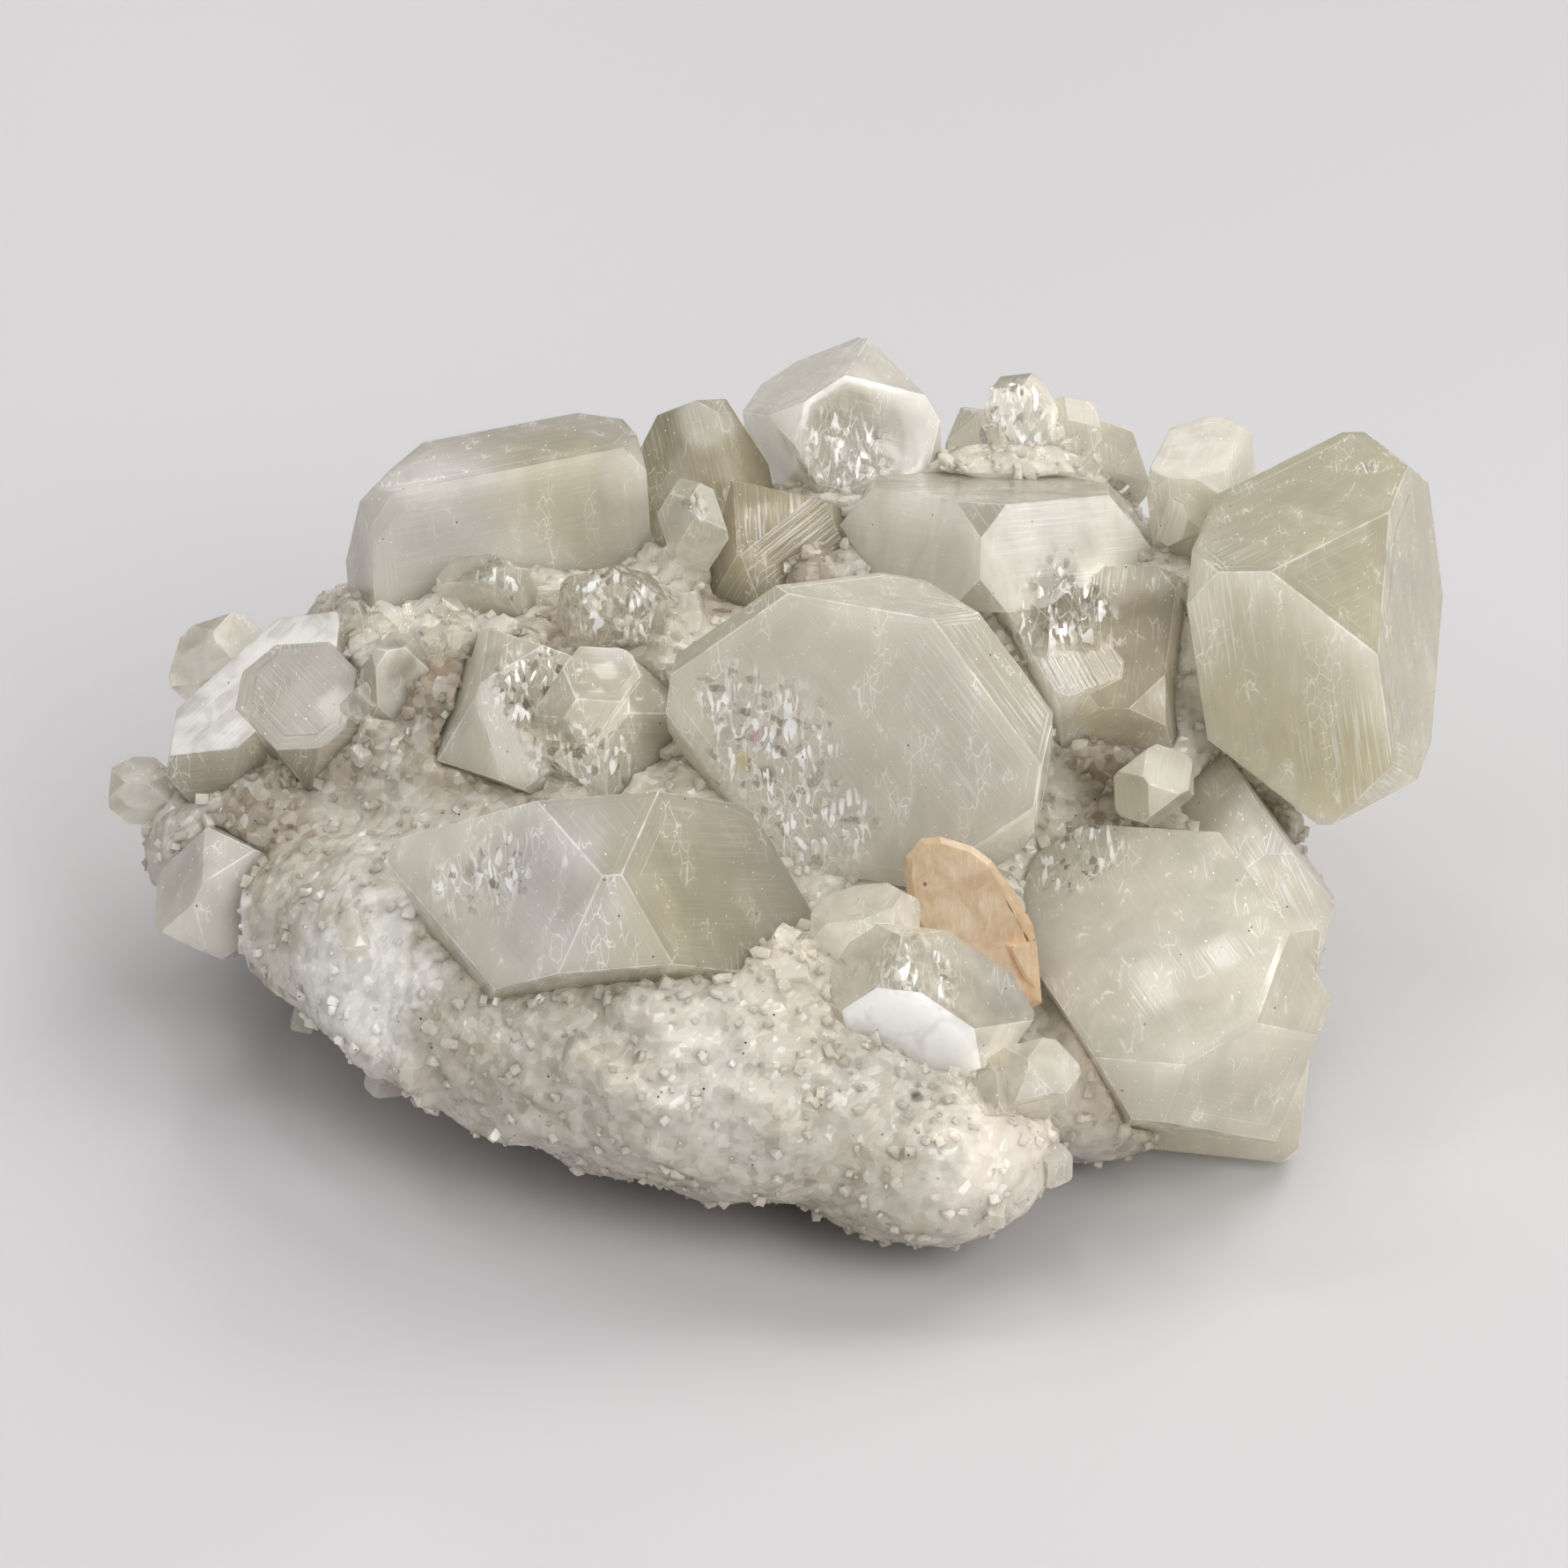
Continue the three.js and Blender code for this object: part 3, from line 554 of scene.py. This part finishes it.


# each crystal: its node, look, seed and corner nicks, and its own tones where they differ from the
# look's. Patches, growth lines and fractured places are a point on it and a radius, in mm.
# the faces listed as bright: the face nearest a point, and how strongly it shows a painted white highlight
crystals = {
    "rightBlockCrystal": {
        "node": "right_block_crystal", "look": "olive", "slot": "greenish_apophyllite",
        "seed": 11, "nicks": 4,
        "patches": {
            "olive": [((31.5, -3.1, 26.5), 7), ((36.1, -4.4, 21.4), 5)]},
        "lines": [((27, -1.8, 31.5), 5), ((37.7, -4.8, 23.6), 5)],
        "shards": [((37.6, 8.6, 36), 1.2)]},
    "topCrystal": {
        "node": "top_crystal", "look": "frosted", "slot": "clear_apophyllite", "seed": 12, "nicks": 3,
        "pale": (244, 241, 234), "shade": (214, 209, 198),
        "patches": {
            "pale": [((5, 21, 36), 3)],
            "dark": [((5.1, 19.5, 31.4), 4.0)]},
        "shards": [((4.5, 19.1, 31), 3.4)]},
    "backLeftCrystal": {
        "node": "back_left_crystal", "look": "frosted", "slot": "frosted_apophyllite", "seed": 13, "nicks": 4,
        "pale": (216, 211, 200), "shade": (174, 168, 154),
        "patches": {
            "lilac": [((-21.8, 12.3, 31.6), 5)], "olive": [((-13.9, 15, 30.7), 5)],
            "pale": [((-9.8, 16.6, 31.1), 2)]}},
    "backMiddleCrystals": {
        "node": "back_middle_crystals", "look": "olive", "slot": "greenish_apophyllite", "seed": 14,
        "pale": (162, 154, 128), "shade": (142, 133, 107),
        "patches": {
            "tan": [((-2.4, 19.5, 30.8), 4), ((-0.1, 12, 29.1), 5)],
            "pale": [((-4.7, 20.1, 33.1), 2)]},
        "lines": [((1, 12.1, 28.4), 4)]},
    "centreCrystal": {
        "node": "centre_crystal", "look": "frosted", "slot": "frosted_apophyllite", "seed": 15, "nicks": 4,
        "pale": (246, 241, 229), "shade": (184, 177, 159),
        "patches": {
            "dark": [((-0.6, -7, 23), 0.8)],
            "pink": [((-1.1, -6.2, 25.5), 0.8)], "yellow": [((-2.3, -6.5, 23.7), 0.8)]},
        "lines": [((11.4, -4.1, 32.9), 4), ((13.6, -8, 27.6), 6)],
        "shards": [((-0.1, -6.7, 24.2), 5), ((2.7, -8.2, 20.5), 4), ((-2.8, -5.2, 27.8), 2.5)]},
    "upperMiddleCrystals": {
        "node": "upper_middle_crystals", "look": "frosted", "slot": "frosted_apophyllite", "seed": 16,
        "patches": {
            "pale": [((9.5, 8.4, 32.6), 5), ((5.6, 12.6, 29.4), 2.5),
                     ((15.1, 4.6, 27.6), 2.5), ((17, 7, 33.5), 3)],
            "tan": [((18.7, 3, 27.3), 2.5), ((22.9, 1.1, 27.1), 5), ((22.3, -1.6, 23.6), 4)],
            "dark": [((18.2, 4.4, 27.8), 3)]},
        "highlightFaces": [((9.5, 8.4, 32.6), 0.15), ((16.8, 6.7, 33.5), 0.25)],
        "lines": [((16.8, 7.1, 34), 5), ((20.9, 8.5, 29.2), 4)],
        "shards": [((18.2, 4.4, 27.8), 3.5)]},
    "backRightCrystals": {
        "node": "back_right_crystals", "look": "olive", "slot": "frosted_apophyllite", "seed": 17,
        "highlightFaces": [((29.6, 15.3, 34.2), 0.3)],
        "lines": [((25, 11.9, 31.2), 3)]},
    "frontRightCrystals": {
        "node": "front_right_crystals", "look": "frosted", "slot": "frosted_apophyllite", "seed": 18,
        "pale": (238, 232, 216), "shade": (202, 193, 175),
        "patches": {
            "pale": [((30.5, -7.5, 18.8), 4), ((32.5, -8, 14), 4)]},
        "lines": [((32.8, -8.3, 16), 4)],
        "shards": [((19.4, -7.6, 17.1), 3)]},
    "frontClearCrystals": {
        "node": "front_clear_crystals", "look": "clear", "slot": "clear_apophyllite", "seed": 19,
        # the white patch and the bright face are painted highlight on the blazing tip, and the lilac patch is
        # partly a painted reflection
        "patches": {
            "lilac": [((13.4, -20.7, 17.1), 3)], "dark": [((5.8, -24.7, 16.6), 0.9)],
            "whiteHighlight": [((8, -24.5, 18), 2)]},
        "highlightFaces": [((9.6, -25, 15.4), 1.3)],
        "shards": [((8.5, -24.4, 20.3), 3)]},
    "frontLeftCrystal": {
        "node": "front_left_crystal", "look": "frosted", "slot": "frosted_apophyllite",
        "seed": 20, "nicks": 4,
        "pale": (244, 239, 226), "shade": (183, 176, 158),
        "patches": {
            "lilac": [((-12.8, -22.6, 24.9), 6)], "olive": [((-5.4, -21.7, 21.7), 7)],
            "pale": [((-22.4, -14.9, 22.6), 1.8)], "dark": [((-18.4, -18.3, 23.3), 1)]},
        "shards": [((-17.3, -19.4, 23.4), 3), ((-19.5, -18.3, 22), 2.2)]},
    "leftBlockCrystals": {
        "node": "left_block_crystals", "look": "olive", "slot": "greenish_apophyllite", "seed": 21,
        "pale": (180, 171, 152), "shade": (160, 150, 129),
        "patches": {
            "pale": [((-28, 2, 22), 2)]},
        "highlightFaces": [((-30, 7.4, 24.1), 0.6)]},
    "leftBackSmallCrystal": {
        "node": "left_back_small_crystal", "look": "clear", "slot": "clear_apophyllite",
        "seed": 22, "nicks": 2},
    "farLeftCrystal": {
        "node": "far_left_crystal", "look": "clear", "slot": "clear_apophyllite", "seed": 23, "nicks": 1},
    "lowerLeftCrystal": {
        "node": "lower_left_crystal", "look": "frosted", "slot": "clear_apophyllite", "seed": 34, "nicks": 2,
        "pale": (240, 236, 226), "shade": (206, 200, 188)},
    "leftMiddleCrystal": {
        "node": "left_middle_crystal", "look": "clear", "slot": "clear_apophyllite", "seed": 24, "nicks": 1,
        "patches": {"dark": [((-24.5, 2, 26), 1.5)]}},
    "pointedLeftCrystal": {
        "node": "pointed_left_crystal", "look": "clear", "slot": "clear_apophyllite", "seed": 25,
        "shards": [((-17.6, 7.2, 29.4), 2)]},
    "sparklingCrystal": {
        "node": "sparkling_crystal", "look": "clear", "slot": "clear_apophyllite", "seed": 26,
        "pale": (196, 187, 168), "shade": (172, 163, 144),
        "shards": [((-10.2, 3.1, 29.2), 4)]},
    "triangularCrystals": {
        "node": "triangular_crystals", "look": "frosted", "slot": "clear_apophyllite", "seed": 27,
        "pale": (222, 215, 199), "shade": (202, 193, 174),
        "patches": {"lilac": [((-10.7, -0.3, 28), 2)]},
        "shards": [((-15.1, -1.5, 26.1), 3), ((-12.3, -5.1, 22.5), 4)]},
    "smallBackCrystal": {
        "node": "small_back_crystal", "look": "clear", "slot": "clear_apophyllite", "seed": 28,
        "patches": {"pale": [((-4.9, 10, 31.6), 1.5)], "dark": [((-5.4, 10, 33), 0.7)]},
        "shards": [((-5, 9.5, 33), 1.5)]},
    "jaggedBackCrystals": {
        "node": "jagged_back_crystals", "look": "frosted", "slot": "clear_apophyllite", "seed": 29,
        "shards": [((16, 22, 32), 3)]},
    "smallRightCrystal": {
        "node": "small_right_crystal", "look": "olive", "slot": "greenish_apophyllite",
        "seed": 30, "nicks": 2},
    "rearLeftCrystals": {
        "node": "rear_left_crystals", "look": "frosted", "slot": "frosted_apophyllite", "seed": 31,
        "lines": [((-14, 26, 18), 5)]},
    "rearMiddleCrystal": {
        "node": "rear_middle_crystal", "look": "frosted", "slot": "frosted_apophyllite",
        "seed": 32, "nicks": 3,
        "shards": [((6, 30, 16), 2.5)]},
    "rearRightCrystal": {
        "node": "rear_right_crystal", "look": "olive", "slot": "greenish_apophyllite", "seed": 33, "nicks": 3,
        "patches": {"pale": [((24, 24, 19), 3)]}},
}
for pieceName, plan in crystals.items():
    crystalPiece(pieceName, plan)
print("crystals cut:", len(crystals))


# ---- druzy matrix

druse = {
    "voxel": 0.45,  # mm
    "swell": 0.2,  # mm, closes the clear space round the crystals
    "lumpSize": 6.0, "lumpHeight": 0.25,
    "grainSize": 1.9, "grainHeight": 0.22,
    "sugarSize": 0.85, "sugarHeight": 0.2,
    "finerFrom": (2, 14),  # mm along X, over which the sugar becomes a finer crust
    # brown bands, and painted shade in the recesses between the crystals
    "brownAndRecessShade": [((-27.7, -0.4, 20.1), 3), ((-32.8, -1.9, 16.7), 4.5), ((-3, 10, 26), 3), ((22, -4, 20), 5),
              ((-12, 4, 26), 6), ((-20, 1, 23), 6), ((2, 9, 27), 4), ((20, 3, 25), 5)],
    # rosy places below the blade: a pink tint, lightened as painted light over the shade that the crystals
    # cast there
    "rosyAndPaintedLight": [((20.2, -20.7, 9.1), 4), ((13, -28, 9), 5)],
    # painted light: pale places that lift the front left of the matrix, where little lamp light falls
    "pale": [((-24.8, -16.4, 13.4), 6), ((-36, -6, 11), 4)],
    "dark": [((-0.1, -21.9, 16.3), 0.6), ((8.5, -27.4, 12.6), 0.6)],
    "underside": 0.3,  # mm, below which the surface stays flat
    "index": 1.53, "facetDepth": 0.7,  # mm
    "spread": (1.0, 0.94, 0.86), "spreadDepth": 1.1,  # mm
    "light": (204, 198, 186), "deep": (186, 177, 160), "mottle": (172, 160, 138),
    "glint": (242, 238, 230), "speck": (52, 40, 30),
    "patchScale": 0.10, "mottleScale": 0.5,  # per mm
    "speckScale": 0.85, "speckRadius": (0.075, 0.05), "speckPatch": 0.22,
}
# how strongly each kind of place shows, and its tone; the pale places and part of the brown and rosy ones are
# painted light and shade
drusePlaces = {
    "pale": (0.9, (238, 235, 228)), "brownAndRecessShade": (0.8, (132, 114, 90)),
    "rosyAndPaintedLight": (0.5, (252, 236, 218)), "dark": (0.9, (52, 46, 40)),
}


def facetHeight(point, size):
    # each cell is a little tilted facet that falls away from its own middle
    distances, centres = noise.voronoi(point / size)
    tilt = noise.cell_vector(centres[0] * 7.3) - Vector((0.5, 0.5, 0.5))
    return 0.42 - distances[0] + 1.1 * tilt.dot(point / size - centres[0])


def druseMaterial(name, sugarSize, glossy, faceted):
    # faceted: with facets drawn between the modelled ones, which loose grains don't need
    made = Finish(name)
    space = made.place()
    patches = made.cloud(space, druse["patchScale"], 1, 0.55)
    mottle = made.cloud(space, druse["mottleScale"], 2, 0.6)
    ragged = (mottle - 0.5) * 1.8
    deep = made.between(patches, 0.35, 0.65)
    base = made.mixed(deep, tone(*druse["light"]), tone(*druse["deep"]))
    base = made.mixed(made.between(mottle, 0.48, 0.68, 0, 0.4), base, tone(*druse["mottle"]))
    for kind, (strength, placeTone) in drusePlaces.items():
        mask = made.near(space, druse[kind], ragged) * strength
        base = made.mixed(mask, base, tone(*placeTone))
    smallCells = made.cells(space, 1 / sugarSize, "Color")
    glint = made.node("ShaderNodeSeparateColor", {}, {0: smallCells}, 1)
    base = made.mixed(made.between(glint, 0.1, 0.9, 0, 0.28), base, tone(*druse["glint"]))
    dots = made.between(made.cells(space, druse["speckScale"]), *druse["speckRadius"])
    dotPick = made.between(made.cloud(space, druse["speckPatch"], 2, 0.5), 0.48, 0.56)
    base = made.mixed(dots * dotPick, base, tone(*druse["speck"]))
    roughness = made.between(glint, 0.2, 0.9, 0.4, glossy)
    sockets = {
        "Base Color": base, "Roughness": roughness, "IOR": druse["index"],
        "Subsurface Weight": 1.0, "Subsurface Radius": druse["spread"],
        "Subsurface Scale": druse["spreadDepth"] * mm}
    if faceted:
        facets, facetShade = made.tiltedCells(space, sugarSize)
        sockets["Normal"] = made.bump(facets, 0.8, druse["facetDepth"] * mm)
    return made.finish(made.principled(sockets))


def remeshedNode(node, voxel):
    bm = mergedNode(node)
    bmesh.ops.triangulate(bm, faces=bm.faces)
    mesh = asMesh("drusePlan", bm)
    plan = bpy.data.objects.new("drusePlan", mesh)
    bpy.context.scene.collection.objects.link(plan)
    remesh = plan.modifiers.new("remesh", "REMESH")
    remesh.mode = "VOXEL"
    remesh.voxel_size = voxel * mm
    graph = bpy.context.evaluated_depsgraph_get()
    done = bmesh.new()
    done.from_object(plan, graph)
    bpy.data.objects.remove(plan)
    bpy.data.meshes.remove(mesh)
    return done


def drusePiece():
    bm = remeshedNode("druzy_matrix", druse["voxel"])
    bmesh.ops.smooth_vert(bm, verts=bm.verts, factor=0.5,
                          use_axis_x=True, use_axis_y=True, use_axis_z=True)
    bm.normal_update()
    coarse, fine = druse["finerFrom"]
    moves = []
    for vert in bm.verts:
        point = vert.co / mm
        fineness = min(1.0, max(0.0, (point.x - coarse) / (fine - coarse)))
        lump = noise.fractal(point / druse["lumpSize"], 0.9, 2.1, 3)
        grain = facetHeight(point, druse["grainSize"]) * (1 - 0.6 * fineness)
        sugar = facetHeight(point, druse["sugarSize"]) * (1 - 0.4 * fineness)
        height = druse["swell"] + druse["lumpHeight"] * lump
        height += druse["grainHeight"] * grain + druse["sugarHeight"] * sugar
        moves.append((vert, vert.normal * height * mm))
    for vert, move in moves:
        if vert.co.z > druse["underside"] * mm:
            vert.co += move
            vert.co.z = max(vert.co.z, 0)
    for face in bm.faces:
        face.smooth = False
    material = druseMaterial("druzyMatrix", 0.7, 0.14, True)
    return meshPiece("druzyMatrix", bm, material, ("druzy_matrix",))


matrixPiece = drusePiece()
print("matrix grown:", len(matrixPiece.data.polygons), "faces")


# ---- small druse crystals and sugar grains

# size: mm. sunk: share of a growth's size that is in the matrix. near: points on the matrix and
# radii that the growths keep to, or everywhere. foot: how close to a crystal, in mm
scatter = {
    "druseCrystals": {"count": 110, "size": (0.4, 1.2), "sunk": 0.35, "seed": 3},
    "nestCrystals": {
        "count": 130, "size": (0.5, 1.5), "sunk": 0.15, "seed": 7,
        "near": [((-10.2, 4, 27), 5.5), ((-17.6, 5.5, 27), 5), ((-26, 6, 24), 5),
                 ((-14, -6, 20), 4), ((2, 9, 27), 3), ((18, 20, 30), 6),
                 ((22, -6, 20), 4), ((4, -19, 17), 4), ((14, -25, 12), 4)]},
    "sugarGrains": {"count": 4200, "size": (0.14, 0.38), "sunk": 0.35, "seed": 4},
    "footGrains": {"count": 2200, "size": (0.2, 0.5), "sunk": 0.25, "seed": 5, "foot": 0.9},
}
lowestGrowth = 1.5  # mm above the table
smallerOnes = 2.5  # how far the sizes lean to the small end


def surfaceSpots(piece, plan, rng):
    # random faces of a piece, picked by area, as their middles and normals
    mesh = piece.data
    nests = [(Vector(point) * mm, radius * mm) for point, radius in plan.get("near", [])]
    total = 0.0
    sums = []
    for face in mesh.polygons:
        free = face.center.z > lowestGrowth * mm
        if nests:
            free = free and any((face.center - point).length < radius for point, radius in nests)
        if "foot" in plan:
            free = free and 0 < clearance(face.center) < plan["foot"] * mm
        total += face.area if free else 0.0
        sums.append(total)
    picks = sorted(rng.uniform(0, total) for _ in range(plan["count"]))
    spots = []
    index = 0
    for pick in picks:
        while sums[index] < pick:
            index += 1
        face = mesh.polygons[index]
        spots.append((face.center.copy(), face.normal.copy()))
    return spots


def smallCrystal(half, cut):
    # a stubby block with its corners cut off
    bm = bmesh.new()
    bmesh.ops.create_cube(bm, size=2, matrix=Matrix.Diagonal((*half, 1)))
    for x in (1, -1):
        for y in (1, -1):
            for z in (1, -1):
                normal = Vector((x * 0.61, y * 0.61, z * 0.5)).normalized()
                corner = Vector((x * half[0], y * half[1], z * half[2]))
                everything = bm.verts[:] + bm.edges[:] + bm.faces[:]
                bmesh.ops.bisect_plane(bm, geom=everything, plane_co=corner - normal * cut,
                                       plane_no=normal, clear_outer=True)
                closeCut(bm)
    bmesh.ops.recalc_face_normals(bm, faces=bm.faces)
    return asMesh("smallCrystal", bm)


def treeOf(names):
    # the surfaces of several pieces in one search tree
    verts = []
    faces = []
    for name in names:
        mesh = bpy.data.objects[name].data
        start = len(verts)
        verts += [vert.co.copy() for vert in mesh.vertices]
        faces += [[start + index for index in face.vertices] for face in mesh.polygons]
    return BVHTree.FromPolygons(verts, faces)


crystalTree = treeOf(crystals)


def clearance(point):
    # how far a point is outside the nearest crystal, less than nothing inside it
    place, normal, index, distance = crystalTree.find_nearest(point)
    return distance if (point - place).dot(normal) > 0 else -distance


def scatterPiece(name, shapes, material):
    plan = scatter[name]
    rng = random.Random(plan["seed"])
    low, high = plan["size"]
    bm = bmesh.new()
    for centre, normal in surfaceSpots(matrixPiece, plan, rng):
        size = (low + (high - low) * rng.random() ** smallerOnes) * mm
        turn = Euler([rng.uniform(0, 2 * math.pi) for _ in range(3)]).to_matrix().to_4x4()
        place = centre + normal * size * (0.5 - plan["sunk"])
        if clearance(centre + normal * size * 0.6) < 0:
            continue
        matrix = Matrix.Translation(place) @ turn @ Matrix.Scale(size, 4)
        before = len(bm.verts)
        bm.from_mesh(rng.choice(shapes))
        bm.verts.ensure_lookup_table()
        bmesh.ops.transform(bm, matrix=matrix, verts=bm.verts[before:])
    layFacePlans(bm)
    return meshPiece(name, bm, material)


druseShapes = [
    smallCrystal((0.8, 0.7, 1.0), 0.18), smallCrystal((0.6, 0.6, 1.2), 0.25),
    smallCrystal((0.9, 0.8, 0.7), 0.12), smallCrystal((0.6, 0.5, 1.1), 0.1)]
smallTones = {"pale": (248, 245, 238), "shade": (226, 220, 208)}
smallDepth = 0.5 * mm  # how far light spreads in them
nestFinish = crystalMaterial("nestFinish", crystalLooks["clear"], smallTones, smallDepth)
druseFinish = crystalMaterial("druseFinish", crystalLooks["frosted"], smallTones, smallDepth)
scatterPiece("druseCrystals", druseShapes, druseFinish)
scatterPiece("nestCrystals", druseShapes, nestFinish)
print("druse crystals scattered")


def grainShape(stretch):
    bm = bmesh.new()
    bmesh.ops.create_cube(bm, size=1.6, matrix=Matrix.Diagonal((*stretch, 1)))
    return asMesh("grain", bm)


grainShapes = [grainShape((1, 0.8, 1.2)), grainShape((0.7, 0.9, 1.4)), grainShape((1, 1, 0.8))]
sugarFinish = druseMaterial("sugarGrains", 0.5, 0.08, False)
scatterPiece("sugarGrains", grainShapes, sugarFinish)
scatterPiece("footGrains", grainShapes, sugarFinish)
print("sugar grains scattered")


# ---- stilbite blade

blade = {
    "edgeWidth": 0.07,  # mm
    "sharpFrom": 0.35,  # radians
    "light": (204, 182, 152), "deep": (188, 160, 126), "sheaf": (214, 198, 174),
    "worn": (196, 152, 112), "dot": (84, 60, 44),
    "spread": (1.0, 0.6, 0.35), "spreadDepth": 1.6,  # mm
    "grooveDepth": 0.12,  # mm
}

def stilbiteMaterial():
    made = Finish("stilbite")
    space = made.place()
    clouds = made.cloud(space, 0.5, 4, 0.6, 0.4)
    sheaf = made.cloud(made.place((1.6, 0.5, 0.5), (0, 0, 28)), 1.6, 3, 0.6)
    worn = made.painted("edgeWear")
    deep = made.between(clouds, 0.38, 0.66)
    body = made.mixed(deep, tone(*blade["light"]), tone(*blade["deep"]))
    body = made.mixed(made.between(sheaf, 0.5, 0.7, 0, 0.5), body, tone(*blade["sheaf"]))
    body = made.mixed(worn * 0.6, body, tone(*blade["worn"]))
    dots = made.between(made.cells(space, 0.9), 0.14, 0.08) * made.between(clouds, 0.5, 0.56)
    body = made.mixed(dots * 0.8, body, tone(*blade["dot"]))
    normal = made.bump(sheaf, 0.4, blade["grooveDepth"] * mm)
    surface = made.principled({
        "Base Color": body, "Roughness": 0.34, "IOR": 1.5, "Normal": normal, "Coat Weight": 0.2,
        "Subsurface Weight": 0.8, "Subsurface Radius": blade["spread"],
        "Subsurface Scale": blade["spreadDepth"] * mm})
    return made.finish(surface)


def bladePiece():
    bm = mergedNode("stilbite_blade")
    edgeWear = bm.faces.layers.float.new("edgeWear")
    sharp = [edge for edge in bm.edges if edge.calc_face_angle(0) > blade["sharpFrom"]]
    roundEdges(bm, sharp, blade["edgeWidth"] * mm, edgeWear)
    return meshPiece("stilbiteBlade", bm, stilbiteMaterial(), ("stilbite_blade",))


bladePiece()
print("stilbite blade done")


# ---- table, light and camera

table = {"size": 3.0, "tone": (203, 201, 201), "blotch": (195, 193, 193), "roughness": 0.45}
view = {"elevation": 33.0, "distance": 380.0, "aim": (0, 0, 17), "lens": 135.26}  # degrees and mm
lamps = {  # in metres and watts, all turned to the middle of the table
    "softBack": {"at": (0.45, 0.35, 0.65), "size": 0.55, "energy": 3.6, "color": (1.0, 0.985, 0.97)},
    "softFront": {"at": (0.44, -0.50, 0.52), "size": 0.5, "energy": 4.1, "color": (0.99, 0.99, 1.0)},
    "softLeft": {"at": (-0.40, -0.34, 0.68), "size": 0.5, "energy": 1.3, "color": (0.98, 0.99, 1.0)},
    "glintLeft": {"at": (-0.43, 0.21, 0.78), "size": 0.2, "energy": 0.7, "color": (1.0, 1.0, 1.0)},
    "glintHigh": {"at": (-0.12, 0.27, 0.86), "size": 0.12, "energy": 0.4, "color": (1.0, 1.0, 1.0)},
    "glintBack": {"at": (-0.15, 0.80, 0.39), "size": 0.10, "energy": 0.3, "color": (1.0, 0.99, 0.97)},
}
room = {"zenith": (0.44, 0.445, 0.455), "horizon": (0.04, 0.04, 0.041)}


def tablePiece():
    made = Finish("paleTable")
    grain = made.cloud(made.place(), 0.02, 3, 0.5)
    blotches = made.between(grain, 0.3, 0.7, 0, 0.06)
    body = made.mixed(blotches, tone(*table["tone"]), tone(*table["blotch"]))
    surface = made.principled({"Base Color": body, "Roughness": table["roughness"]})
    bm = bmesh.new()
    bmesh.ops.create_grid(bm, x_segments=1, y_segments=1, size=table["size"] / 2)
    top = bpy.data.objects.new("table", asMesh("table", bm))
    bpy.context.scene.collection.objects.link(top)
    top.data.materials.append(made.finish(surface))


def addLamp(name, plan):
    data = bpy.data.lights.new(name, "AREA")
    data.size = plan["size"]
    data.energy = plan["energy"]
    data.color = plan["color"]
    lamp = bpy.data.objects.new(name, data)
    lamp.location = plan["at"]
    lamp.rotation_euler = (-Vector(plan["at"])).to_track_quat("-Z", "Y").to_euler()
    bpy.context.scene.collection.objects.link(lamp)


def addCamera():
    data = bpy.data.cameras.new("camera")
    data.lens = view["lens"]
    data.sensor_width = 36
    data.clip_start = 0.01
    data.clip_end = 10
    camera = bpy.data.objects.new("camera", data)
    rise = math.radians(view["elevation"])
    back = Vector((0, -math.cos(rise), math.sin(rise)))
    aim = Vector(view["aim"]) * mm + modelShift
    camera.location = aim + back * view["distance"] * mm
    camera.rotation_euler = (-back).to_track_quat("-Z", "Y").to_euler()
    bpy.context.scene.collection.objects.link(camera)
    bpy.context.scene.camera = camera


def addRoom():
    # a plain room, pale above and dark towards the horizon
    world = bpy.data.worlds.new("softRoom")
    world.use_nodes = True
    made = Nodes(world.node_tree)
    height = made.node("ShaderNodeSeparateXYZ", {}, {0: made.node("ShaderNodeTexCoord")}, 2)
    stops = [(0, room["horizon"]), (1, room["zenith"])]
    shade = made.node("ShaderNodeValToRGB", {"stops": stops}, {0: height})
    light = made.node("ShaderNodeBackground", {}, {"Color": shade})
    made.node("ShaderNodeOutputWorld", {}, {"Surface": light})
    bpy.context.scene.world = world


tablePiece()
for lampName, plan in lamps.items():
    addLamp(lampName, plan)
addCamera()
addRoom()
bpy.context.scene.view_settings.view_transform = "Standard"
print("stage set")
